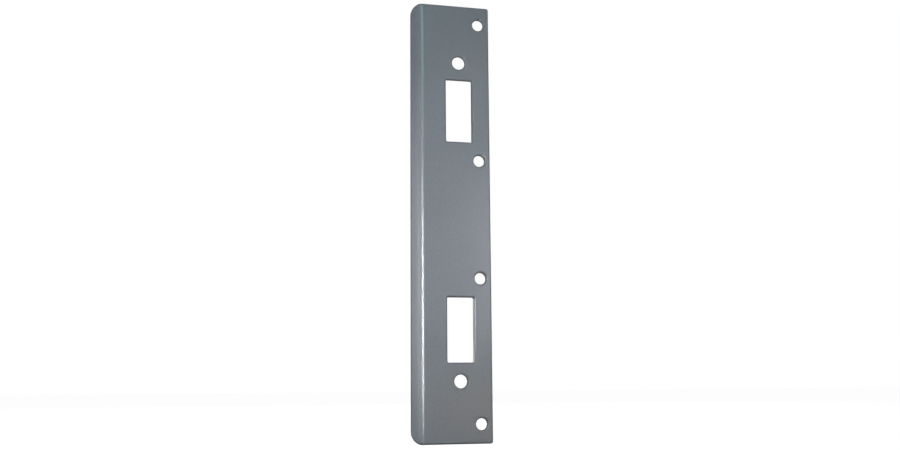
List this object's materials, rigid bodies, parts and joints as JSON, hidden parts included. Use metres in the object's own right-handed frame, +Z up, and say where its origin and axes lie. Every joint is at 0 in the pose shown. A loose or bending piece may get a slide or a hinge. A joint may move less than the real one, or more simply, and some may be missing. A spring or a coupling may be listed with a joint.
{
  "type": "door strike plate",
  "caption": "Long flat strike plate with bolt windows, a row of screw holes along the free edge and a rounded lip folded back along the opposite edge.",
  "frame": {"origin": "on the plane of the rear face, half way up the plate, on the line through the middles of both bolt windows", "axes": "+Z up the door edge along the plate's length, +Y out of the rear face into the door frame, +X towards the free edge that has the screw holes; the lip is on the -X side"},
  "size_m": [0.0512, 0.0067, 0.2794],
  "materials": {
    "painted_steel": "satin silver-grey paint over steel"
  },
  "bodies": {
    "root": {"strike_plate": "painted_steel"}
  },
  "joints": []
}
